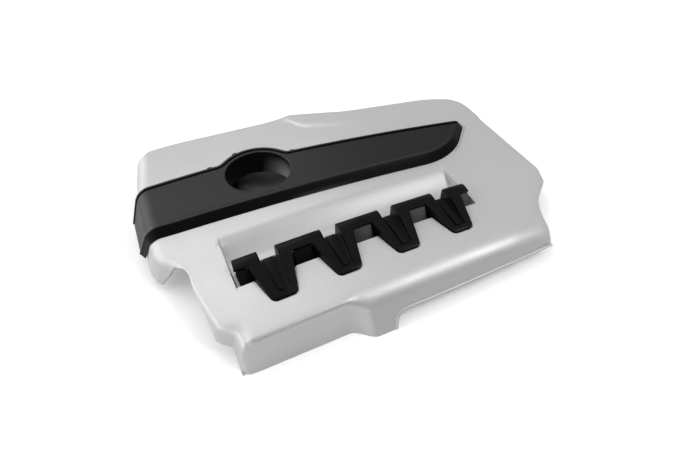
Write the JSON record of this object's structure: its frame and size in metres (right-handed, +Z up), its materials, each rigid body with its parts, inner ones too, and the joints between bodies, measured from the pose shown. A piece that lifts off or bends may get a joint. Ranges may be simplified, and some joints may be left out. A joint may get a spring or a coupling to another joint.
{
  "type": "engine cover",
  "caption": "Moulded engine cover with a black band round a filler opening, a fingered runner trim in a scooped pocket and rubber push-on grommets underneath.",
  "frame": {"origin": "middle of the overall box at the level of its lowest edge", "axes": "+X to the right along the length, +Y to the rear, +Z up"},
  "size_m": [0.6227, 0.4578, 0.075],
  "materials": {
    "silver_moulding": "light satin silver",
    "band_black": "satin black",
    "runner_black": "satin black",
    "backing_black": "matte black",
    "rubber": "matte",
    "spring_steel": "bright",
    "foam": "matte"
  },
  "bodies": {
    "root": {"cover_shell": "silver_moulding", "band_trim": "band_black", "runner_trim": "runner_black", "runner_backing": "backing_black", "grommet_front_left": "rubber", "grommet_front_right": "rubber", "grommet_rear_left": "rubber", "grommet_rear_right": "rubber", "band_push_nut_1": "spring_steel", "band_push_nut_2": "spring_steel", "band_push_nut_3": "spring_steel", "band_push_nut_4": "spring_steel", "band_push_nut_5": "spring_steel", "band_push_nut_6": "spring_steel", "runner_push_nut_1": "spring_steel", "runner_push_nut_2": "spring_steel", "runner_push_nut_3": "spring_steel", "runner_push_nut_4": "spring_steel", "sound_pad_rear": "foam", "sound_pad_right": "foam"}
  },
  "joints": []
}
